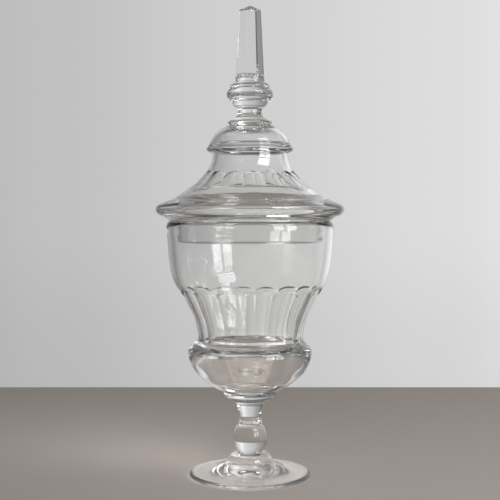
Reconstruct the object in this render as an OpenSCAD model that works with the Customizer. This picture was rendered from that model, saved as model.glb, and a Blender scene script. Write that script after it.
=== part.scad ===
// Cut-glass covered jar: a fluted bowl on a knopped stem and a disc foot, with a lift-off
// lid that has a locating flange, a small dome and a six-sided spire. Millimetres, +Z up,
// origin at the centre of the foot's underside.

/* [Foot] */
// Diameter of the foot
foot_d = 98.6; // [80:0.2:125]
// Height of the foot, from the table to the stem's collar
foot_h = 11.8; // [9:0.2:16]
// Thickness of the foot at its rim
foot_edge_t = 3; // [2.4:0.1:4]
// Height of the shallow hollow under the foot
foot_recess_h = 3.4; // [1:0.1:3.8]
// Width of the flat ring that the jar stands on
foot_ring_w = 4.4; // [3:0.2:8]

/* [Stem] */
// Diameter of the collar on top of the foot
foot_collar_d = 36.8; // [30:0.2:46]
// Height of the collar on top of the foot
foot_collar_h = 6.5; // [5:0.1:9]
// Diameter of the ball knop
ball_d = 27.8; // [23:0.2:34]
// Height of the ball knop
ball_h = 23.3; // [18:0.1:28]
// Diameter of the bead above the ball
bead_d = 19.8; // [17:0.2:24]
// Height of the bead above the ball
bead_h = 4.4; // [3:0.1:6]
// Diameter of the stem's narrowest place
neck_d = 17.2; // [14:0.2:19]
// Height of the plain stem between the bead and the bowl's collar
neck_h = 17.5; // [13:0.1:22]
// Diameter of the collar under the bowl
bowl_collar_d = 42.6; // [36:0.2:50]
// Height of the collar under the bowl
bowl_collar_h = 6.8; // [5:0.1:9]

/* [Bowl] */
// Diameter of the bulb at the bottom of the bowl
bulb_d = 100.8; // [85:0.2:121]
// Height from the bowl's base to the bulb's widest place
bulb_h = 30.2; // [25:0.1:37]
// Height from the bulb's widest place up to the waist
shoulder_h = 12.3; // [10:0.1:15]
// Outside diameter of the waist
waist_d = 85.8; // [72:0.2:98]
// Height from the waist up to the widest place near the mouth
bell_h = 87.4; // [72:0.2:106]
// Outside diameter of the bowl near the mouth
mouth_d = 135.4; // [112:0.2:164]
// Height of the rounded rim above that widest place
rim_h = 6.8; // [5:0.1:9]
// Thickness of the wall near the mouth
mouth_wall_t = 5.7; // [4.6:0.1:7]
// Thickness of the wall at the waist
waist_wall_t = 4; // [3.2:0.1:5]
// Thickness of the glass under the lowest place inside the bowl
base_t = 11.3; // [8:0.1:15]

/* [Cutting] */
// Number of flat flutes round the bowl and of facets round the lid
flute_count = 16; // [12:1:20]
// Height of the bowl's flutes above the waist
flute_h = 41; // [34:0.5:50]
// Height of the lid's facets
facet_h = 13.5; // [11:0.5:16]

/* [Lid] */
// How far the lid's brim stands out beyond the bowl
brim_overhang = 8.4; // [6:0.1:11]
// Height of the brim
brim_h = 17.4; // [14.5:0.1:20]
// Diameter of the skirt's neck, where the dome sits
skirt_neck_d = 61; // [50:0.2:72]
// Height of the skirt above the brim
skirt_h = 37.2; // [31:0.1:45]
// How far the skirt's foot stands in from the middle of the bowl's rim
skirt_inset = 0.95; // [0:0.05:3]
// Thickness of the skirt's wall
skirt_wall_t = 4.3; // [3.6:0.1:5.2]
// Air gap between the bowl's rim and the lid that rests on it
seat_gap = 0.15; // [0.1:0.05:0.4]
// Radial clearance between the lid's flange and the bowl, where the flange reaches lowest
flange_clearance = 2.4; // [1.2:0.1:4]
// Thickness of the flange that drops inside the mouth
flange_t = 3.4; // [2.8:0.1:4.5]
// How far the flange drops below the bowl's rim
flange_drop = 16.6; // [12:0.2:22]
// How far the dome's lip stands out beyond the skirt's neck
dome_overhang = 4.7; // [3:0.1:7]
// Height of the dome's lip
dome_lip_h = 4.4; // [3:0.1:6]
// Height of the dome, its lip included
dome_h = 23.3; // [19:0.1:28]
// Thickness of the dome's wall at its top
dome_top_t = 4.6; // [3.8:0.1:6]

/* [Finial] */
// Diameter of the collar on top of the dome
finial_collar_d = 35.2; // [29:0.2:38]
// Height of the collar on top of the dome
finial_collar_h = 5; // [4:0.1:7]
// Diameter of the finial's narrowest place
finial_neck_d = 19.4; // [16:0.2:23]
// Height of the finial's neck
finial_neck_h = 9; // [7:0.1:11]
// Diameter of the ring below the knop
lower_ring_d = 29; // [24:0.2:34]
// Height of the ring below the knop
lower_ring_h = 5.2; // [4:0.1:7]
// Diameter of the knop
knop_d = 37.6; // [32:0.2:45]
// Height of the knop
knop_h = 9.8; // [8:0.1:12]
// Diameter of the ring above the knop
upper_ring_d = 32; // [27:0.2:38]
// Height of the ring above the knop
upper_ring_h = 5; // [4:0.1:7]
// Diameter of the spire's round base
spire_base_d = 23.4; // [20:0.2:27]
// Height of the spire's round base
spire_base_h = 6.5; // [5:0.1:9]
// Distance across opposite edges at the foot of the spire's facets
spire_foot_d = 22.6; // [18:0.2:25]
// Distance across opposite edges at the top of the spire's facets
spire_top_d = 17.4; // [13:0.2:20]
// Height of the spire's facets
spire_h = 51.3; // [42:0.2:62]
// Height of the spire's low pointed top
spire_tip_h = 3.6; // [2:0.1:6]

/* [Hidden] */

$fn = 96;
SMOOTH = 4;               // points on each span of a smooth outline
SPIRE_SIDES = 6;
CUT_DEPTH = 1.1 * (1 - cos(180 / flute_count)); // a little past where two flat cuts meet
CUT_WIDTH = 1.2;          // the cutter's width, as a share of the space between two cuts
CUT_REACH = 20;           // how far the cutter stands clear of the glass
FLUTE_LOW = 0.16;         // how far the flutes run below the waist, as a share of flute_h
FACET_LOW = 0.24;         // where the lid's facets begin, as a share of skirt_h
FLUTE_TURN = 6.65;        // angle of the first bowl flute's middle, from +X
FACET_TURN = 3.75;        // angle of the first lid facet's middle, from +X
SPIRE_TURN = 36;          // angle of the first spire facet's middle, from +X
GLASS = [0.80, 0.84, 0.83];

// heights, stacked from the table up
foot_collar_z = foot_h;
ball_z = foot_collar_z + foot_collar_h;
bead_z = ball_z + ball_h;
neck_z = bead_z + bead_h;
bowl_collar_z = neck_z + neck_h;
bowl_z = bowl_collar_z + bowl_collar_h;
bulb_z = bowl_z + bulb_h;
waist_z = bulb_z + shoulder_h;
mouth_z = waist_z + bell_h;
rim_z = mouth_z + rim_h;
floor_z = bowl_z + base_t;
seat_z = rim_z + seat_gap;
skirt_z = seat_z + brim_h;
dome_z = skirt_z + skirt_h;
finial_collar_z = dome_z + dome_h;
finial_neck_z = finial_collar_z + finial_collar_h;
lower_ring_z = finial_neck_z + finial_neck_h;
knop_z = lower_ring_z + lower_ring_h;
upper_ring_z = knop_z + knop_h;
spire_z = upper_ring_z + upper_ring_h;
spire_facet_z = spire_z + spire_base_h;
spire_shoulder_z = spire_facet_z + spire_h;

// radii that two pieces share
mouth_r = mouth_d / 2;
mouth_inner_r = mouth_r - mouth_wall_t;
waist_r = waist_d / 2;
waist_inner_r = waist_r - waist_wall_t;
bulb_r = bulb_d / 2;
brim_r = mouth_r + brim_overhang;
seat_r = mouth_r - mouth_wall_t / 2;
skirt_neck_r = skirt_neck_d / 2;
skirt_bore_r = skirt_neck_r - skirt_wall_t;
skirt_foot_r = seat_r - skirt_inset;
ring_r = foot_d / 2 - foot_edge_t * 0.55;
recess_r = ring_r - foot_ring_w;
stem_flare_r = bowl_collar_d / 2 * 0.775;   // where the stem meets the bowl's collar
bowl_base_r = bowl_collar_d / 2 * 0.977;    // where the bowl meets its collar
dome_lip_r = skirt_neck_r + dome_overhang;
dome_top_r = finial_collar_d / 2 * 0.9;     // the dome's top, just inside the finial's collar

// smooth curve through a list of points, SMOOTH straight steps to each span
function spline_at(a, b, c, d, t) =
    0.5 * (2 * b + (c - a) * t + (2 * a - 5 * b + 4 * c - d) * t * t
        + (3 * b - a - 3 * c + d) * t * t * t);
function curve(p, steps = SMOOTH) = concat(
    [for (i = [0:len(p) - 2], j = [0:steps - 1])
        spline_at(p[max(i - 1, 0)], p[i], p[i + 1], p[min(i + 2, len(p) - 1)], j / steps)],
    [p[len(p) - 1]]);
// shares of a radius and a height, turned into [radius, height] points standing at z
function scaled(shares, r, h, z) = [for (s = shares) [s[0] * r, z + s[1] * h]];
// shares from one radius to another and from one height to another
function between(shares, r0, r1, z0, z1) =
    [for (s = shares) [r0 + s[0] * (r1 - r0), z0 + s[1] * (z1 - z0)]];
function reversed(p) = [for (i = [len(p) - 1:-1:0]) p[i]];
// all but the first point, for an outline that carries on from another one's last
function rest(p) = [for (i = [1:len(p) - 1]) p[i]];
function last(p) = p[len(p) - 1];

// a solid of revolution with flat ends, from its outside points, listed upwards
module turned(points) {
    ends = [[0, last(points)[1]], [0, points[0][1]]];
    rotate_extrude() polygon(concat(points, ends));
}

// a solid knop, ring or collar: shares of its radius and height, listed upwards
module gather(shares, d, h, z) {
    color(GLASS) turned(curve(scaled(shares, d / 2, h, z)));
}

// The line that a cutting wheel follows over an outline: steps are shares of the cut's height,
// with the depth at each as a share of CUT_DEPTH of the radius. Less than 0 is clear of the glass.
function radius_at(outline, z) = lookup(z, [for (p = outline) [p[1], p[0]]]);
function cut_path(outline, z, h, steps) =
    [for (s = steps) [radius_at(outline, z + s[0] * h) * (1 - s[1] * CUT_DEPTH), z + s[0] * h]];

// flat cuts round the axis: each takes off what lies outside the path
module cuts(path, count, turn) {
    widest = max([for (p = path) p[0]]);
    reach = widest + CUT_REACH;
    outside = concat(path, [[reach, last(path)[1]], [reach, path[0][1]]]);
    width = CUT_WIDTH * 2 * widest * tan(180 / count);
    for (i = [0:count - 1])
        rotate([90, 0, turn + i * 360 / count])
            linear_extrude(width, center = true) polygon(outside);
}

// ---- foot and stem ----

// the foot's top from its collar out towards its edge, then round the edge to the table, and
// the hollow underneath, from the ring inwards
foot_shares = [[0, 1], [0.118, 0.763], [0.376, 0.466], [0.699, 0.305]];
edge_shares = [[-0.24, 1], [0.7, 0.86], [1, 0.55], [0.73, 0.2], [0, 0]];
recess_shares = [[1, 0], [0.66, 0.6], [0.33, 0.92], [0, 1]];

module foot() {
    foot_r = foot_d / 2;
    top = curve(between(foot_shares, foot_collar_d / 2, foot_r, 0, foot_h));
    edge = curve(concat([last(top)], between(edge_shares, ring_r, foot_r, 0, foot_edge_t)));
    recess = curve(scaled(recess_shares, recess_r, foot_recess_h, 0));
    color(GLASS) rotate_extrude() polygon(concat([[0, foot_h]], top, rest(edge), recess));
}

module foot_collar() {
    gather([[0.957, 0], [1, 0.17], [0.978, 0.385], [0.87, 0.8], [0.76, 1]],
        foot_collar_d, foot_collar_h, foot_collar_z);
}

module ball_knop() {
    gather([[0.604, 0], [0.727, 0.056], [0.885, 0.193], [0.978, 0.33], [1, 0.48],
        [0.986, 0.61], [0.921, 0.78], [0.813, 0.923], [0.69, 1]], ball_d, ball_h, ball_z);
}

module stem_bead() {
    gather([[0.91, 0], [0.985, 0.2], [1, 0.45], [0.96, 0.75], [0.88, 1]],
        bead_d, bead_h, bead_z);
}

module stem_neck() {
    color(GLASS) turned(curve(between(
        [[0, 0], [-0.01, 0.09], [0.02, 0.23], [0.10, 0.4], [0.2, 0.57],
            [0.34, 0.74], [0.56, 0.86], [0.87, 0.95], [1, 1]],
        neck_d / 2, stem_flare_r, neck_z, bowl_collar_z)));
}

module bowl_collar() {
    gather([[0.775, 0], [0.883, 0.07], [0.967, 0.265], [1, 0.56], [0.995, 0.85], [0.977, 1]],
        bowl_collar_d, bowl_collar_h, bowl_collar_z);
}

// ---- bowl ----

// the bell between the waist and the mouth, as shares of the step in radius and height
bell_shares = [[0, 0], [0.032, 0.073], [0.117, 0.166], [0.266, 0.259], [0.431, 0.351],
    [0.601, 0.444], [0.77, 0.537], [0.859, 0.629], [0.915, 0.722], [0.952, 0.815], [1, 1]];
shoulder_shares = [[1, 0], [0.913, 0.22], [0.738, 0.40], [0.51, 0.53], [0.31, 0.66],
    [0.1, 0.81], [0, 1]];

bulb_shares = [[0, 0], [0.25, 0.06], [0.565, 0.28], [0.718, 0.41], [0.82, 0.545],
    [0.957, 0.81], [1, 1]];
// the rounded rim over the wall's thickness, from the outside in
rim_shares = [[1, 0], [0.947, 0.5], [0.83, 0.8], [0.68, 0.95], [0.5, 1], [0.32, 0.95],
    [0.14, 0.8], [0.02, 0.5], [0, 0]];

// the inside below the waist: shares of the waist's inside radius and of the height down to
// the lowest place, narrowing in a cone to thick glass at the bottom
hollow_low_shares = [[1, 1], [1.064, 0.83], [1.01, 0.686], [0.655, 0.205], [0.437, 0.064],
    [0.2, 0.012], [0, 0]];
bowl_inside = curve(between(bell_shares, waist_inner_r, mouth_inner_r, waist_z, mouth_z), 2);

module bowl() {
    bulb = curve(between(bulb_shares, bowl_base_r, bulb_r, bowl_z, bulb_z), 2);
    shoulder = curve(between(shoulder_shares, waist_r, bulb_r, bulb_z, waist_z), 2);
    bell = curve(between(bell_shares, waist_r, mouth_r, waist_z, mouth_z), 2);
    rim = curve(between(rim_shares, mouth_inner_r, mouth_r, mouth_z, rim_z), 2);
    hollow = curve(scaled(hollow_low_shares, waist_inner_r, waist_z - floor_z, floor_z), 3);
    color(GLASS) difference() {
        rotate_extrude() polygon(concat(
            [[0, bowl_z]], bulb, rest(shoulder), rest(bell), rest(rim),
            rest(reversed(bowl_inside)), rest(hollow)));
        cuts(cut_path(concat(shoulder, rest(bell)), waist_z, flute_h, flute_steps),
            flute_count, FLUTE_TURN);
    }
}

// Height shares along a flute, and how deep it is there: 1 is where neighbouring flutes meet
// in an edge. It comes out of the glass at both ends, which gives the rounded tops.
flute_steps = [[-FLUTE_LOW, -0.5], [-0.06, 1], [0.1, 1], [0.25, 1], [0.42, 1], [0.6, 1], [0.8, 1],
    [0.93, 0.6], [1, -0.3]];

// ---- lid ----

flange_low_z = rim_z - flange_drop;
flange_r = radius_at(bowl_inside, flange_low_z) - flange_clearance;
flange_inner_r = flange_r - flange_t;

// the skirt's sweep from the brim up to its neck
skirt_shares = [[0, 0], [0.163, 0.082], [0.348, 0.194], [0.517, 0.307], [0.66, 0.419],
    [0.779, 0.531], [0.881, 0.645], [0.943, 0.756], [0.982, 0.866], [1, 1]];

// the brim from where it sits on the rim, out round its edge and back to the skirt's foot
brim_shares = [[0.02, 0], [0.124, 0.075], [0.422, 0.19], [0.742, 0.276], [0.92, 0.385],
    [1, 0.534], [0.964, 0.644], [0.84, 0.736], [0.627, 0.816], [0.271, 0.908]];

module lid_cover() {
    brim = curve(concat(
        between(brim_shares, seat_r, brim_r, seat_z, skirt_z), [[skirt_foot_r, skirt_z]]), 3);
    skirt = curve(between(skirt_shares, skirt_foot_r, skirt_neck_r, skirt_z, dome_z), 2);
    inside = reversed(curve(between(
        skirt_shares, skirt_foot_r - skirt_wall_t * 0.6, skirt_bore_r,
        skirt_z - skirt_wall_t * 0.8, dome_z), 2));
    // the inside sweep ends where the throat above the flange begins
    sweep = [for (p = inside) if (p[0] < flange_inner_r - skirt_wall_t * 0.14) p];
    throat_z = last(sweep)[1];
    throat = curve([
        last(sweep), [flange_inner_r - 0.1, throat_z - flange_t],
        [flange_inner_r, throat_z - 2 * flange_t], [flange_inner_r, seat_z]
    ], 2);
    color(GLASS) difference() {
        rotate_extrude() polygon(concat(brim, rest(skirt), sweep, rest(throat)));
        cuts(cut_path(skirt, skirt_z + FACET_LOW * skirt_h, facet_h, facet_steps),
            flute_count, FACET_TURN);
    }
}

// the facets lie on the skirt between a straight lower edge and an arched top
facet_steps = [[-0.02, -0.4], [0.06, 1], [0.3, 1], [0.6, 1], [0.85, 0.6], [1, -0.3]];

module lid_flange() {
    soft = flange_t * 0.3;
    color(GLASS) rotate_extrude() polygon([
        [flange_inner_r, seat_z], [flange_inner_r, flange_low_z + soft],
        [flange_inner_r + soft, flange_low_z], [flange_r - soft, flange_low_z],
        [flange_r, flange_low_z + soft], [flange_r, seat_z]
    ]);
}

// the dome's lip, its outside above the lip, and its hollow
lip_shares = [[0, 0], [0.745, 0.386], [1, 0.705], [0.894, 1]];
dome_shares = [[0.925, 0.34], [0.866, 0.52], [0.787, 0.695], [0.685, 0.837], [0.551, 0.94]];
hollow_shares = [[0, 1], [0.35, 1], [0.6, 0.985], [0.74, 0.925], [0.86, 0.82], [0.95, 0.69],
    [1.02, 0.52], [1.06, 0.37], [1.085, 0.22], [1.07, 0.09], [1, 0]];

module lid_dome() {
    lip = between(lip_shares, skirt_neck_r, dome_lip_r, dome_z, dome_z + dome_lip_h);
    outside = curve(concat(
        lip, scaled(dome_shares, dome_lip_r, dome_h, dome_z),
        [[dome_top_r, dome_z + dome_h]]), 3);
    inside = curve(scaled(hollow_shares, skirt_bore_r, dome_h - dome_top_t, dome_z), 3);
    color(GLASS) rotate_extrude() polygon(concat(outside, [[0, dome_z + dome_h]], inside));
}

// ---- finial ----

module finial_collar() {
    gather([[0.94, 0], [0.992, 0.16], [1, 0.4], [0.9, 0.66], [0.8, 0.84], [0.70, 1]],
        finial_collar_d, finial_collar_h, finial_collar_z);
}

module finial_neck() {
    gather([[1.27, 0], [1.12, 0.17], [1.03, 0.37], [1, 0.63], [1.02, 0.9], [1.09, 1]],
        finial_neck_d, finial_neck_h, finial_neck_z);
}

module knop_lower_ring() {
    gather([[0.8, 0], [0.93, 0.25], [1, 0.66], [0.985, 0.86], [0.93, 1]],
        lower_ring_d, lower_ring_h, lower_ring_z);
}

module finial_knop() {
    gather([[0.86, 0], [0.955, 0.17], [1, 0.45], [0.982, 0.68], [0.91, 0.88], [0.835, 1]],
        knop_d, knop_h, knop_z);
}

module knop_upper_ring() {
    gather([[0.92, 0], [0.99, 0.14], [1, 0.34], [0.94, 0.62], [0.82, 0.86], [0.725, 1]],
        upper_ring_d, upper_ring_h, upper_ring_z);
}

// a block that takes off all that lies beyond one sloping facet
module facet_cut(foot_r, foot_z, top_r, top_z) {
    apothem = cos(180 / SPIRE_SIDES);
    lean = atan2((foot_r - top_r) * apothem, top_z - foot_z);
    length = norm([(foot_r - top_r) * apothem, top_z - foot_z]);
    block = spire_base_d;
    translate([foot_r * apothem, 0, foot_z]) rotate([0, -lean, 0])
        translate([0, -block, 0]) cube([block, 2 * block, length + block]);
}

module finial_spire() {
    tip_z = spire_shoulder_z + spire_tip_h;
    color(GLASS) difference() {
        translate([0, 0, spire_z]) cylinder(d = spire_base_d, h = tip_z - spire_z);
        for (i = [0:SPIRE_SIDES - 1]) rotate([0, 0, SPIRE_TURN + i * 360 / SPIRE_SIDES]) {
            facet_cut(spire_foot_d / 2, spire_facet_z, spire_top_d / 2, spire_shoulder_z);
            facet_cut(spire_top_d / 2, spire_shoulder_z, 0, tip_z);
        }
    }
}

foot();
foot_collar();
ball_knop();
stem_bead();
stem_neck();
bowl_collar();
bowl();
lid_cover();
lid_flange();
lid_dome();
finial_collar();
finial_neck();
knop_lower_ring();
finial_knop();
knop_upper_ring();
finial_spire();
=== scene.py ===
import math
import random

import bpy
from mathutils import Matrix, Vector


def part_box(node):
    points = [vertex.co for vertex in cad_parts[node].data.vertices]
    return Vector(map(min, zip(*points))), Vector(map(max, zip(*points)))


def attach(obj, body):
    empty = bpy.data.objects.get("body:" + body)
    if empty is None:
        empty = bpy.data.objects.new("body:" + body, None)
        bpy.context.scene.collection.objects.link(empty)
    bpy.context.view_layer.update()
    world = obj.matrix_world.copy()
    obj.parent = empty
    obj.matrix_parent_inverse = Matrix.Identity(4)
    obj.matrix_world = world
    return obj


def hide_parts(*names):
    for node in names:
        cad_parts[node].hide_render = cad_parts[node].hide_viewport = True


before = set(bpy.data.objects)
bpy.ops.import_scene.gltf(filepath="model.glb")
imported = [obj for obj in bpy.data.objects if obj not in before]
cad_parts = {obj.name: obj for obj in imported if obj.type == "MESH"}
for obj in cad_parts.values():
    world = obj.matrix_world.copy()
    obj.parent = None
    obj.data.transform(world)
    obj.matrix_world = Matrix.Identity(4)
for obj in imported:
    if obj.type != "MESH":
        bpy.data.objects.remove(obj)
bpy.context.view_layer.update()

# Lengths are in metres. Places and outer sizes come from the CAD nodes' boxes. An outline lists
# shares of a piece's radius and height, or of the way from one radius and height to another.
MM = 0.001

# Walls and edges, which a box doesn't show
FOOT_EDGE_T = 3.0 * MM
FOOT_RING_W = 4.4 * MM      # the ground ring that the jar stands on
FOOT_RECESS_H = 3.4 * MM
BASE_T = 11.3 * MM          # the glass under the lowest place inside the bowl
WAIST_WALL_T = 4.0 * MM
MOUTH_WALL_T = 5.7 * MM
FLANGE_T = 3.4 * MM
SKIRT_WALL_T = 4.3 * MM
SKIRT_INSET = 0.95 * MM     # how far inside the seat the skirt starts
BRIM_H = 17.4 * MM
DOME_OVERHANG = 4.7 * MM
DOME_TOP_T = 4.6 * MM
SPIRE_BASE_H = 6.5 * MM
SPIRE_RUN = 2.6 * MM        # the height over which the round base turns into flats
SPIRE_TIP_H = 3.6 * MM
SPIRE_FOOT_R = 11.3 * MM    # to the corners
SPIRE_TOP_R = 8.7 * MM

# Flat cuts
CUTS = 16                   # round the bowl, and again round the lid
FLUTE_LOW = 0.55            # how far down the bowl's shoulder the flutes run, as a share
FLUTE_H = 41 * MM           # above the waist
FACET_LOW = 0.24            # the facets' foot, as a share of the skirt's height
FACET_H = 13.5 * MM
FLUTE_TURN = math.radians(6.65)
FACET_TURN = math.radians(3.75)
SPIRE_SIDES = 6
SPIRE_TURN = math.radians(36)

# Meshes
PLAIN_COLUMNS = 160         # columns of faces round a plain turned piece
CUT_COLUMNS = 24            # columns of faces across one flat cut
CREASE = math.radians(38)   # edges sharper than this stay crisp
GLASS, WELD = 0, 1          # material slots: polished surface, and the face fused to a neighbour


# ---- outlines ----

def spline(points, steps=6):
    """A smooth curve through points, with steps straight pieces to each span."""
    made = []
    last = len(points) - 1
    for i in range(last):
        a, b = points[max(i - 1, 0)], points[i]
        c, d = points[i + 1], points[min(i + 2, last)]
        for j in range(steps):
            t = j / steps
            made.append(tuple(
                0.5 * (2 * q + (r - p) * t + (2 * p - 5 * q + 4 * r - s) * t * t
                       + (3 * q - p - 3 * r + s) * t ** 3)
                for p, q, r, s in zip(a, b, c, d)))
    return made + [tuple(points[last])]


def between(shares, r0, r1, z0, z1):
    """Shares of the way from one radius to another and from one height to another."""
    return [(r0 + u * (r1 - r0), z0 + v * (z1 - z0)) for u, v in shares]


def scaled(shares, radius, z0, z1):
    """Shares of a radius, and of the way from one height to another."""
    return [(u * radius, z0 + v * (z1 - z0)) for u, v in shares]


def radius_at(outline, z):
    """The outline's radius at a height, for an outline that only rises."""
    if z <= outline[0][1]:
        return outline[0][0]
    for (ra, za), (rb, zb) in zip(outline, outline[1:]):
        if z <= zb:
            return ra + (rb - ra) * (z - za) / max(zb - za, 1e-9)
    return outline[-1][0]


def rise(x):
    """Smoothly from 0 to 1 as x goes from 0 to 1."""
    x = min(max(x, 0), 1)
    return x * x * (3 - 2 * x)


# ---- turned glass ----

def wobble(angle, z):
    """How far hot-worked glass is out of round, as a share of the radius."""
    return 0.0011 * math.sin(2 * angle + 0.9 + 9 * z) + 0.0007 * math.sin(3 * angle + 21 * z)


def even_columns(count):
    """The angles of equally spaced columns of faces."""
    return [2 * math.pi * i / count for i in range(count)]


def cut_columns(turn, count, across=CUT_COLUMNS):
    """Columns that bunch up at the edges between flat cuts, so that the edges stay crisp."""
    half = math.pi / count
    angles = []
    for k in range(count):
        for i in range(across):
            u = 2 * i / across - 1
            angles.append(turn + k * 2 * half + half * (0.72 * math.sin(u * math.pi / 2) + 0.28 * u))
    return angles


def without_repeats(stretches):
    """Stretches without points that repeat the one before."""
    kept = []
    for slot, points in stretches:
        same = [points[0]]
        for p in points[1:]:
            if math.dist(p, same[-1]) > 1e-6:
                same.append(p)
        if len(same) > 1:
            kept.append((slot, same))
    return kept


def joined(stretches, loop):
    """One path of (radius, height, stretch), and the material slot of each of its steps."""
    path, slots = [], []
    for k, (slot, points) in enumerate(without_repeats(stretches)):
        for i, (r, z) in enumerate(points):
            if i == 0 and k > 0:
                continue
            path.append((r, z, k))
            if len(path) > 1:
                slots.append(slot)
    if loop:
        path.pop()
    return path, slots


def turned(name, stretches, columns, shape=None, loop=False):
    """A closed solid of revolution. stretches are (slot, points), each starting where the last
    one ends, with the glass to the left. shape may change a radius by its stretch and angle.
    loop closes the outline on itself, for a ring, instead of ending it on the axis."""
    path, slots = joined(stretches, loop)
    verts, rings = [], []
    for r, z, k in path:
        if r < 1e-7:
            rings.append([len(verts)] * len(columns))
            verts.append((0, 0, z))
            continue
        rings.append(list(range(len(verts), len(verts) + len(columns))))
        for angle in columns:
            reach = shape(k, angle, r, z) if shape else r
            reach *= 1 + wobble(angle, z)
            verts.append((reach * math.cos(angle), reach * math.sin(angle), z))
    faces, face_slots = [], []
    for i in range(len(rings) if loop else len(rings) - 1):
        low, high = rings[i], rings[(i + 1) % len(rings)]
        for j in range(len(columns)):
            n = (j + 1) % len(columns)
            faces.append(list(dict.fromkeys([low[j], low[n], high[n], high[j]])))
            face_slots.append(slots[i])
    return smooth_piece(name, verts, faces, face_slots)


def smooth_piece(name, verts, faces, face_slots):
    """An object that is shaded smooth but for its creases."""
    mesh = bpy.data.meshes.new(name)
    mesh.from_pydata(verts, [], faces)
    mesh.polygons.foreach_set("material_index", face_slots)
    mesh.polygons.foreach_set("use_smooth", [True] * len(faces))
    mesh.update()
    mesh.validate()
    mesh.set_sharp_from_angle(angle=CREASE)
    piece = bpy.data.objects.new(name, mesh)
    bpy.context.scene.collection.objects.link(piece)
    return piece


def flat_cuts(turn, count, low, top, arch, round_power, depth, soft, seed):
    """A shape for turned: flat cuts round the axis, each with an arched top and a run-out at
    its foot, and with a hand cutter's small differences. arch is how much lower the top is at
    the cut's sides than at its middle, round_power how square its arch is, depth(z) how far the
    cuts go below the surface where neighbours meet, and soft how high the slopes are at the
    foot and at the top."""
    rng = random.Random(seed)
    half = math.pi / count
    cuts = [(rng.uniform(-0.02, 0.02) * half, rng.uniform(0.98, 1.03), rng.uniform(-0.5, 0.5) * MM)
            for _ in range(count)]

    def reach(angle, r, z):
        if z < low or z > top + MM:
            return r
        best = r
        nearest = (angle - turn) / (2 * half)
        for k in (math.floor(nearest), math.ceil(nearest)):
            shift, width, lift = cuts[k % count]
            off = angle - turn - k * 2 * half - shift
            side = min(abs(off) / half, 1)
            own_top = top + lift - arch * (1 - (1 - side ** round_power) ** (1 / round_power))
            share = min(rise((own_top - z) / soft[1]), rise((z - low) / soft[0]))
            deep = r * (1 - math.cos(half * width)) + depth(z)
            flat = min(r, (r - deep) / math.cos(off))
            best = min(best, r + (flat - r) * share)
        return best

    return reach


# ---- materials ----

def noise(mat, vector, scale, detail, roughness=0.5):
    """A noise texture's value."""
    node = mat.node_tree.nodes.new("ShaderNodeTexNoise")
    node.inputs["Scale"].default_value = scale
    node.inputs["Detail"].default_value = detail
    node.inputs["Roughness"].default_value = roughness
    mat.node_tree.links.new(vector, node.inputs["Vector"])
    return node.outputs["Fac"]


def tint_ramp(mat, fac, tint):
    """The tint, and where fac is low a slightly deeper one."""
    ramp = mat.node_tree.nodes.new("ShaderNodeValToRGB")
    deep, plain = ramp.color_ramp.elements
    deep.position, plain.position = 0.3, 0.7
    deep.color = (tint[0] * 0.975, tint[1] * 0.98, tint[2] * 0.975, 1)
    plain.color = (*tint, 1)
    mat.node_tree.links.new(fac, ramp.inputs["Fac"])
    return ramp.outputs["Color"]


def crystal(name, tint, ripple, haze):
    """Clear hand-worked lead glass: a faint tint that varies, slow ripples from the making, fine
    wheel and wear marks that dull the polish a little. ripple and haze scale the last two."""
    mat = bpy.data.materials.new(name)
    mat.use_nodes = True
    nodes, links = mat.node_tree.nodes, mat.node_tree.links
    shader = nodes["Principled BSDF"]
    shader.inputs["Transmission Weight"].default_value = 1.0
    shader.inputs["IOR"].default_value = 1.53

    place = nodes.new("ShaderNodeTexCoord")
    stretch = nodes.new("ShaderNodeMapping")
    stretch.inputs["Scale"].default_value = (1.0, 1.0, 0.35)
    links.new(place.outputs["Object"], stretch.inputs["Vector"])
    slow = noise(mat, stretch.outputs["Vector"], 38.0, 2.0)
    fine = noise(mat, place.outputs["Object"], 420.0, 5.0, 0.65)
    links.new(tint_ramp(mat, slow, tint), shader.inputs["Base Color"])

    dull = nodes.new("ShaderNodeMapRange")
    dull.inputs["From Min"].default_value = 0.5
    dull.inputs["From Max"].default_value = 0.8
    dull.inputs["To Max"].default_value = haze
    links.new(fine, dull.inputs["Value"])
    links.new(dull.outputs["Result"], shader.inputs["Roughness"])

    bump = nodes.new("ShaderNodeBump")
    bump.inputs["Strength"].default_value = ripple
    bump.inputs["Distance"].default_value = MM
    links.new(slow, bump.inputs["Height"])
    links.new(bump.outputs["Normal"], shader.inputs["Normal"])
    return mat


def fused():
    """The face inside the glass where one gather was fused to the next: nothing shows there."""
    mat = bpy.data.materials.new("fused_face")
    mat.use_nodes = True
    nodes, links = mat.node_tree.nodes, mat.node_tree.links
    nodes.remove(nodes["Principled BSDF"])
    clear = nodes.new("ShaderNodeBsdfTransparent")
    links.new(clear.outputs["BSDF"], nodes["Material Output"].inputs["Surface"])
    return mat


# the glass of each of the record's material slots: tint, ripple and haze
CRYSTALS = {slot: crystal(slot, *look) for slot, look in {
    "bowl_crystal": ((0.987, 0.988, 0.986), 0.22, 0.05),
    "stem_crystal": ((0.962, 0.967, 0.964), 0.08, 0.04),
    "lid_crystal": ((0.987, 0.988, 0.986), 0.22, 0.05),
    "finial_crystal": ((0.958, 0.961, 0.959), 0.08, 0.04),
}.items()}
FUSED = fused()


def finish_piece(piece, node, body, slot):
    """Gives the piece its glass, and its place in the frame."""
    piece.data.materials.append(CRYSTALS[slot])
    piece.data.materials.append(FUSED)
    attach(piece, body)
    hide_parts(node)
    piece.visible_shadow = False        # clear glass would cast a solid black one


# ---- turned gathers of the stem and the finial ----

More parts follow.
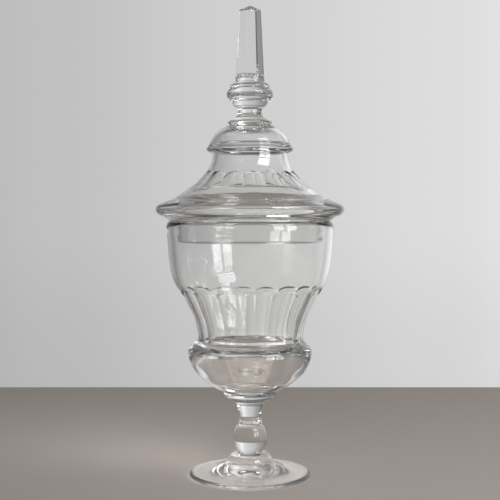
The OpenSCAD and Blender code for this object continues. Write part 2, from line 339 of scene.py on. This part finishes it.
# each node and its outline, from the bottom up
STEM = [
    ("foot_collar", [(0.957, 0), (1, 0.17), (0.978, 0.385), (0.87, 0.8), (0.76, 1)]),
    ("ball_knop", [(0.604, 0), (0.727, 0.056), (0.885, 0.193), (0.978, 0.33), (1, 0.48),
                   (0.986, 0.61), (0.921, 0.78), (0.813, 0.923), (0.69, 1)]),
    ("stem_bead", [(0.91, 0), (0.985, 0.2), (1, 0.45), (0.96, 0.75), (0.88, 1)]),
    ("stem_neck", [(0.521, 0), (0.516, 0.09), (0.531, 0.23), (0.569, 0.4), (0.617, 0.57),
                   (0.684, 0.74), (0.789, 0.86), (0.938, 0.95), (1, 1)]),
    ("bowl_collar", [(0.775, 0), (0.883, 0.07), (0.967, 0.265), (1, 0.56), (0.995, 0.85),
                     (0.977, 1)]),
]
FINIAL = [
    ("finial_collar", [(0.94, 0), (0.992, 0.16), (1, 0.4), (0.9, 0.66), (0.8, 0.84), (0.70, 1)]),
    ("finial_neck", [(1, 0), (0.882, 0.17), (0.811, 0.37), (0.787, 0.63), (0.803, 0.9),
                     (0.858, 1)]),
    ("knop_lower_ring", [(0.8, 0), (0.93, 0.25), (1, 0.66), (0.985, 0.86), (0.93, 1)]),
    ("finial_knop", [(0.86, 0), (0.955, 0.17), (1, 0.45), (0.982, 0.68), (0.91, 0.88),
                     (0.835, 1)]),
    ("knop_upper_ring", [(0.92, 0), (0.99, 0.14), (1, 0.34), (0.94, 0.62), (0.82, 0.86),
                         (0.725, 1)]),
]


def ends_of(node, shares):
    """The radii of a gather's lower and upper face."""
    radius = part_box(node)[1].x
    return shares[0][0] * radius, shares[-1][0] * radius


FOOT_TOP_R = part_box("foot_collar")[1].x
BOWL_BASE_R = 0.977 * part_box("bowl_collar")[1].x    # the collar's upper face
DOME_TOP_R = 0.9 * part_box("finial_collar")[1].x     # just inside the finial's collar
SPIRE_BASE_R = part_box("finial_spire")[1].x


def gathers(stack, below_r, above_r, body, slot):
    """Every gather of a stack, each fused to its neighbours over the smaller of two faces."""
    ends = [ends_of(*item) for item in stack]
    for i, (node, shares) in enumerate(stack):
        low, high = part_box(node)
        outline = spline(scaled(shares, high.x, low.z, high.z), 8)
        under = min(ends[i][0], ends[i - 1][1] if i else below_r)
        over = min(ends[i][1], ends[i + 1][0] if i + 1 < len(stack) else above_r)
        piece = turned(node + "_glass", [
            (WELD, [(0, low.z), (under, low.z)]),
            (GLASS, [(under, low.z)] + outline + [(over, high.z)]),
            (WELD, [(over, high.z), (0, high.z)]),
        ], even_columns(PLAIN_COLUMNS))
        finish_piece(piece, node, body, slot)


# ---- foot ----

FOOT_HOLLOW = [(0, 1), (0.33, 0.92), (0.66, 0.6), (1, 0)]
# out from the foot's rim, and shares of the edge's thickness
FOOT_EDGE = [(-0.45 * MM, 0.2), (0, 0.55), (-0.5 * MM, 0.86)]
FOOT_TOP = [(0.811, 0.305), (0.608, 0.466), (0.446, 0.763)]


def make_foot():
    low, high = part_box("foot")
    radius = high.x
    ring_r = radius - 0.55 * FOOT_EDGE_T
    hollow = spline(scaled(FOOT_HOLLOW, ring_r - FOOT_RING_W, 0, FOOT_RECESS_H))
    edge = [(radius + out, up * FOOT_EDGE_T) for out, up in FOOT_EDGE]
    outside = spline([(ring_r, 0)] + edge + [(ring_r - 0.4 * MM, FOOT_EDGE_T)]
                     + scaled(FOOT_TOP, radius, 0, high.z) + [(FOOT_TOP_R, high.z)])
    weld_r = min(FOOT_TOP_R, ends_of(*STEM[0])[0])
    piece = turned("foot_glass", [
        (GLASS, hollow + outside + [(weld_r, high.z)]),
        (WELD, [(weld_r, high.z), (0, high.z)]),
    ], even_columns(PLAIN_COLUMNS))
    finish_piece(piece, "foot", "jar", "stem_crystal")


# ---- bowl ----

# the bulb's and the waist's radius as shares of the mouth's, and how high the bulb is widest,
# the waist narrowest and the rim begins, as shares of the bowl's height
BULB_R, WAIST_R = 0.7445, 0.6337
BULB_Z, WAIST_Z, MOUTH_Z = 0.2209, 0.3109, 0.9503

BULB = [(0, 0), (0.25, 0.06), (0.565, 0.28), (0.718, 0.41), (0.82, 0.545), (0.957, 0.81), (1, 1)]
SHOULDER = [(1, 0), (0.913, 0.22), (0.738, 0.40), (0.51, 0.53), (0.31, 0.66), (0.1, 0.81), (0, 1)]
BELL = [(0, 0), (0.032, 0.073), (0.117, 0.166), (0.266, 0.259), (0.431, 0.351),
        (0.601, 0.444), (0.77, 0.537), (0.859, 0.629), (0.915, 0.722), (0.952, 0.815), (1, 1)]
RIM = [(1, 0), (0.947, 0.5), (0.83, 0.8), (0.68, 0.95), (0.5, 1), (0.32, 0.95), (0.14, 0.8),
       (0.02, 0.5), (0, 0)]
HOLLOW = [(1, 1), (1.064, 0.83), (1.01, 0.686), (0.655, 0.205), (0.437, 0.064), (0.2, 0.012),
          (0, 0)]


def make_bowl():
    low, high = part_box("bowl")
    mouth_r = high.x
    bulb_r, waist_r = BULB_R * mouth_r, WAIST_R * mouth_r
    bulb_z, waist_z, mouth_z = (low.z + share * (high.z - low.z)
                                for share in (BULB_Z, WAIST_Z, MOUTH_Z))
    inner_r, waist_inner_r = mouth_r - MOUTH_WALL_T, waist_r - WAIST_WALL_T
    flute_top = waist_z + FLUTE_H

    bulb = spline(between(BULB, BOWL_BASE_R, bulb_r, low.z, bulb_z))
    shoulder = spline(between(SHOULDER, waist_r, bulb_r, bulb_z, waist_z), 5)
    bell = spline(between(BELL, waist_r, mouth_r, waist_z, mouth_z), 9)
    rim = spline(between(RIM, inner_r, mouth_r, mouth_z, high.z))
    inside = spline(between(BELL, waist_inner_r, inner_r, waist_z, mouth_z))[::-1]
    hollow = spline(scaled(HOLLOW, waist_inner_r, low.z + BASE_T, waist_z), 10)

    def depth(z):
        return (0.25 + 0.55 * rise((z - waist_z) / FLUTE_H)) * MM

    flutes = flat_cuts(
        FLUTE_TURN, CUTS, low=waist_z - FLUTE_LOW * (waist_z - bulb_z), top=flute_top,
        arch=5.5 * MM, round_power=2.4, depth=depth, soft=(4 * MM, 1.2 * MM), seed=5)

    def shape(k, angle, r, z):
        outside = r > radius_at(shoulder + bell, z) - 0.5 * MM
        return flutes(angle, r, z) if bulb_z < z < flute_top + 2 * MM and outside else r

    piece = turned("bowl_glass", [
        (WELD, [(0, low.z), (BOWL_BASE_R, low.z)]),
        (GLASS, bulb + shoulder + bell + rim + inside + hollow),
    ], cut_columns(FLUTE_TURN, CUTS), shape)
    finish_piece(piece, "bowl", "jar", "bowl_crystal")


# ---- lid ----

BRIM = [(0.02, 0), (0.124, 0.075), (0.422, 0.19), (0.742, 0.276), (0.92, 0.385), (1, 0.534),
        (0.964, 0.644), (0.84, 0.736), (0.627, 0.816), (0.271, 0.908)]
SKIRT = [(0, 0), (0.163, 0.082), (0.348, 0.194), (0.517, 0.307), (0.66, 0.419),
         (0.779, 0.531), (0.881, 0.645), (0.943, 0.756), (0.982, 0.866), (1, 1)]
DOME_HOLLOW = [(0, 1), (0.35, 1), (0.6, 0.985), (0.74, 0.925), (0.86, 0.82), (0.95, 0.69),
               (1.02, 0.52), (1.06, 0.37), (1.085, 0.22), (1.07, 0.09), (1, 0)]
# out from the lip's edge, and up
DOME_LIP = [(-1.2 * MM, 1.7 * MM), (0, 3.1 * MM), (-0.5 * MM, 4.4 * MM)]
DOME = [(0.925, 0.34), (0.866, 0.52), (0.787, 0.695), (0.685, 0.837), (0.551, 0.94)]

NECK_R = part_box("lid_dome")[1].x - DOME_OVERHANG
BORE_R = NECK_R - SKIRT_WALL_T
FLANGE_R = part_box("lid_flange")[1].x
FLANGE_BORE_R = FLANGE_R - FLANGE_T


def skirt_inside(foot_r, seat_z, skirt_z, top_z):
    """The hollow of the lid's cover, from the neck down to the flange."""
    hollow = spline(between(SKIRT, foot_r - 0.6 * SKIRT_WALL_T, BORE_R,
                            skirt_z - 0.8 * SKIRT_WALL_T, top_z))[::-1]
    hollow = [p for p in hollow if p[0] < FLANGE_BORE_R - 0.6 * MM]
    end = hollow[-1]
    return hollow + spline([
        end, (FLANGE_BORE_R - 0.1 * MM, end[1] - FLANGE_T),
        (FLANGE_BORE_R, end[1] - 2 * FLANGE_T), (FLANGE_BORE_R, seat_z)])


def make_cover():
    low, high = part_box("lid_cover")
    brim_r, seat_z, top_z = high.x, low.z, high.z
    seat_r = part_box("bowl")[1].x - MOUTH_WALL_T / 2
    foot_r = seat_r - SKIRT_INSET
    skirt_z = seat_z + BRIM_H
    brim = spline(between(BRIM, seat_r, brim_r, seat_z, skirt_z) + [(foot_r, skirt_z)])
    skirt = spline(between(SKIRT, foot_r, NECK_R, skirt_z, top_z), 10)

    facet_low = skirt_z + FACET_LOW * (top_z - skirt_z)
    facets = flat_cuts(
        FACET_TURN, CUTS, low=facet_low, top=facet_low + FACET_H, arch=6.5 * MM,
        round_power=2.0, depth=lambda z: 0.4 * MM, soft=(0.9 * MM, 1.1 * MM), seed=8)
    piece = turned("lid_cover_glass", [
        (WELD, [(FLANGE_BORE_R, seat_z), (FLANGE_R, seat_z)]),
        (GLASS, [(FLANGE_R, seat_z)] + brim + skirt),
        (WELD, [(NECK_R, top_z), (BORE_R, top_z)]),
        (GLASS, skirt_inside(foot_r, seat_z, skirt_z, top_z)),
    ], cut_columns(FACET_TURN, CUTS), lambda k, angle, r, z: (
        facets(angle, r, z) if k == 1 and z > skirt_z else r), loop=True)
    finish_piece(piece, "lid_cover", "lid", "lid_crystal")


def make_flange():
    low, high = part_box("lid_flange")
    soft = 0.3 * FLANGE_T
    lip = spline([
        (FLANGE_BORE_R, low.z + 2 * soft), (FLANGE_BORE_R + 0.3 * soft, low.z + 0.5 * soft),
        (FLANGE_BORE_R + 1.2 * soft, low.z), (FLANGE_R - 1.2 * soft, low.z),
        (FLANGE_R - 0.3 * soft, low.z + 0.5 * soft), (FLANGE_R, low.z + 2 * soft)])
    piece = turned("lid_flange_glass", [
        (GLASS, [(FLANGE_BORE_R, high.z)] + lip + [(FLANGE_R, high.z)]),
        (WELD, [(FLANGE_R, high.z), (FLANGE_BORE_R, high.z)]),
    ], even_columns(2 * PLAIN_COLUMNS), loop=True)
    finish_piece(piece, "lid_flange", "lid", "lid_crystal")


def make_dome():
    low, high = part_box("lid_dome")
    lip_r = high.x
    inside = spline(scaled(DOME_HOLLOW, BORE_R, low.z, high.z - DOME_TOP_T))
    outside = spline([(NECK_R, low.z)] + [(lip_r + out, low.z + up) for out, up in DOME_LIP]
                     + scaled(DOME, lip_r, low.z, high.z) + [(DOME_TOP_R, high.z)])
    weld_r = min(DOME_TOP_R, ends_of(*FINIAL[0])[0])
    piece = turned("lid_dome_glass", [
        (GLASS, inside),
        (WELD, [(BORE_R, low.z), (NECK_R, low.z)]),
        (GLASS, outside + [(weld_r, high.z)]),
        (WELD, [(weld_r, high.z), (0, high.z)]),
    ], even_columns(PLAIN_COLUMNS))
    finish_piece(piece, "lid_dome", "lid", "lid_crystal")


def make_spire():
    low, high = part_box("finial_spire")
    facet_z, shoulder_z = low.z + SPIRE_BASE_H, high.z - SPIRE_TIP_H
    half = math.pi / SPIRE_SIDES
    foot_a, top_a = SPIRE_FOOT_R * math.cos(half), SPIRE_TOP_R * math.cos(half)

    def flat_at(z):
        """How far the flats are from the axis."""
        if z > shoulder_z:
            return top_a * (high.z - z) / SPIRE_TIP_H
        if z > facet_z:
            return top_a + (foot_a - top_a) * (shoulder_z - z) / (shoulder_z - facet_z)
        share = min((facet_z - z) / SPIRE_RUN, 1)
        return foot_a + (SPIRE_BASE_R - foot_a) * share ** 2

    def shape(k, angle, r, z):
        off = (angle - SPIRE_TURN) % (2 * half)
        off = min(off, 2 * half - off)
        return min(r, flat_at(z) / math.cos(off)) if k == 1 else r

    weld_r = min(SPIRE_BASE_R, ends_of(*FINIAL[-1])[1])
    heights = [low.z + SPIRE_BASE_H * i / 8 for i in range(1, 9)]
    heights += [facet_z + (shoulder_z - facet_z) * i / 24 for i in range(1, 25)]
    heights += [shoulder_z + SPIRE_TIP_H * i / 4 for i in range(1, 4)]
    outline = [(weld_r, low.z), (SPIRE_BASE_R, low.z)] + [(SPIRE_BASE_R, z) for z in heights]
    piece = turned("finial_spire_glass", [
        (WELD, [(0, low.z), (weld_r, low.z)]),
        (GLASS, outline + [(0, high.z)]),
    ], cut_columns(SPIRE_TURN, SPIRE_SIDES), shape)
    finish_piece(piece, "finial_spire", "lid", "finial_crystal")


# ---- room: floor, light and camera ----

TABLE_BACK, TABLE_WIDE = 0.43, 1.1
TABLE_Z = -0.3 * MM         # there is air under the foot's ring, as under any glass
TABLE_PAINT = (0.52, 0.46, 0.42, 1)

WINDOW_AIM = Vector((0, 0, 0.2))
WINDOW_DISTANCE = 1.7
PANE_W, PANE_H, PANE_POWER = 0.44, 0.6, 6
# azimuth and elevation; azimuth 0 is in front of the jar, 90 is to its right
PANES = {"window_low_left": (38, 13), "window_low_right": (57, 13),
         "window_high_left": (38, 38), "window_high_right": (57, 38)}

CAMERA_PLACE = (0, -0.835, 0.212)
CAMERA_DOWN = 1.94          # degrees below level
CAMERA_LENS = 74.2

# the room's grey level by compass direction, as shares of a turn from -Y by way of +X, and by
# height, from straight down to straight up
ROOM_ROUND = [(0.0, 0.24), (0.12, 0.34), (0.20, 0.18), (0.26, 0.15), (0.31, 0.22), (0.36, 0.42),
              (0.40, 0.72), (0.44, 0.98), (0.47, 0.72), (0.5, 0.63), (0.53, 0.53), (0.56, 0.38),
              (0.60, 0.29), (0.65, 0.22), (0.70, 0.12), (0.78, 0.10), (0.88, 0.16), (1.0, 0.24)]
ROOM_HIGH = [(0.0, 0.35), (0.34, 0.48), (0.43, 0.92), (0.5, 1.0), (0.61, 1.0), (0.74, 0.9),
             (0.84, 0.45), (0.92, 0.22), (1.0, 0.15)]


def make_floor():
    """A pale table whose back edge shows behind the foot."""
    mesh = bpy.data.meshes.new("floor")
    mesh.from_pydata([(x, y, TABLE_Z) for x, y in (
        (-TABLE_WIDE, -TABLE_WIDE), (TABLE_WIDE, -TABLE_WIDE),
        (TABLE_WIDE, TABLE_BACK), (-TABLE_WIDE, TABLE_BACK))], [], [(0, 1, 2, 3)])
    floor = bpy.data.objects.new("floor", mesh)
    bpy.context.scene.collection.objects.link(floor)
    mat = bpy.data.materials.new("floor_paint")
    mat.use_nodes = True
    shader = mat.node_tree.nodes["Principled BSDF"]
    shader.inputs["Base Color"].default_value = TABLE_PAINT
    shader.inputs["Roughness"].default_value = 0.75
    mesh.materials.append(mat)


def grey_ramp(nodes, stops):
    """A smooth ramp through (place, grey level) stops."""
    ramp = nodes.new("ShaderNodeValToRGB")
    elements = ramp.color_ramp.elements
    elements.remove(elements[1])
    for i, (at, level) in enumerate(stops):
        stop = elements[0] if i == 0 else elements.new(at)
        stop.position = at
        stop.color = (level, level, level, 1)
    ramp.color_ramp.interpolation = "EASE"
    return ramp


def from_range(nodes, links, value, low, high):
    """A value's share of the way from low to high."""
    node = nodes.new("ShaderNodeMapRange")
    node.inputs["From Min"].default_value = low
    node.inputs["From Max"].default_value = high
    links.new(value, node.inputs["Value"])
    return node.outputs["Result"]


def make_world():
    """A room as it lights clear glass: a pale wall behind, brighter to the right where the
    window is, darker to the left, overhead and behind the camera."""
    world = bpy.data.worlds.new("room")
    bpy.context.scene.world = world
    world.use_nodes = True
    nodes, links = world.node_tree.nodes, world.node_tree.links
    place = nodes.new("ShaderNodeTexCoord")
    split = nodes.new("ShaderNodeSeparateXYZ")
    links.new(place.outputs["Generated"], split.inputs["Vector"])

    flip = nodes.new("ShaderNodeMath")
    flip.operation = "MULTIPLY"
    flip.inputs[1].default_value = -1.0
    links.new(split.outputs["X"], flip.inputs[0])
    compass = nodes.new("ShaderNodeMath")
    compass.operation = "ARCTAN2"
    links.new(flip.outputs[0], compass.inputs[0])
    links.new(split.outputs["Y"], compass.inputs[1])

    around, upward = grey_ramp(nodes, ROOM_ROUND), grey_ramp(nodes, ROOM_HIGH)
    links.new(from_range(nodes, links, compass.outputs[0], -math.pi, math.pi),
              around.inputs["Fac"])
    links.new(from_range(nodes, links, split.outputs["Z"], -1.0, 1.0), upward.inputs["Fac"])
    both = nodes.new("ShaderNodeVectorMath")
    both.operation = "MULTIPLY"
    links.new(around.outputs["Color"], both.inputs[0])
    links.new(upward.outputs["Color"], both.inputs[1])
    links.new(both.outputs[0], nodes["Background"].inputs["Color"])


def make_window():
    """A tall window of four panes, in front and to the right."""
    for name, (azimuth, elevation) in PANES.items():
        a, e = math.radians(azimuth), math.radians(elevation)
        lamp = bpy.data.lights.new(name, "AREA")
        lamp.shape = "RECTANGLE"
        lamp.size, lamp.size_y, lamp.energy = PANE_W, PANE_H, PANE_POWER
        light = bpy.data.objects.new(name, lamp)
        light.location = WINDOW_AIM + WINDOW_DISTANCE * Vector(
            (math.sin(a) * math.cos(e), -math.cos(a) * math.cos(e), math.sin(e)))
        light.rotation_mode = "QUATERNION"
        light.rotation_quaternion = (light.location - WINDOW_AIM).to_track_quat("Z", "Y")
        light.visible_camera = False
        bpy.context.scene.collection.objects.link(light)


def make_camera():
    """At the height of the bowl's rim, looking slightly down so that the spire and foot fit."""
    data = bpy.data.cameras.new("camera")
    data.lens, data.sensor_width = CAMERA_LENS, 36.0
    camera = bpy.data.objects.new("camera", data)
    camera.location = CAMERA_PLACE
    camera.rotation_euler = (math.radians(90 - CAMERA_DOWN), 0, 0)
    bpy.context.scene.collection.objects.link(camera)
    bpy.context.scene.camera = camera


def set_depth():
    """Enough bounces for light to pass both walls of the lid and the bowl, and all the welds."""
    scene = bpy.context.scene
    scene.cycles.max_bounces = 32
    scene.cycles.transmission_bounces = 28
    scene.cycles.glossy_bounces = 12
    scene.cycles.transparent_max_bounces = 32


make_foot()
gathers(STEM, FOOT_TOP_R, BOWL_BASE_R, "jar", "stem_crystal")
make_bowl()
make_flange()
make_cover()
make_dome()
gathers(FINIAL, DOME_TOP_R, SPIRE_BASE_R, "lid", "finial_crystal")
make_spire()
make_floor()
make_world()
make_window()
make_camera()
set_depth()
bpy.context.scene.view_settings.view_transform = "Standard"
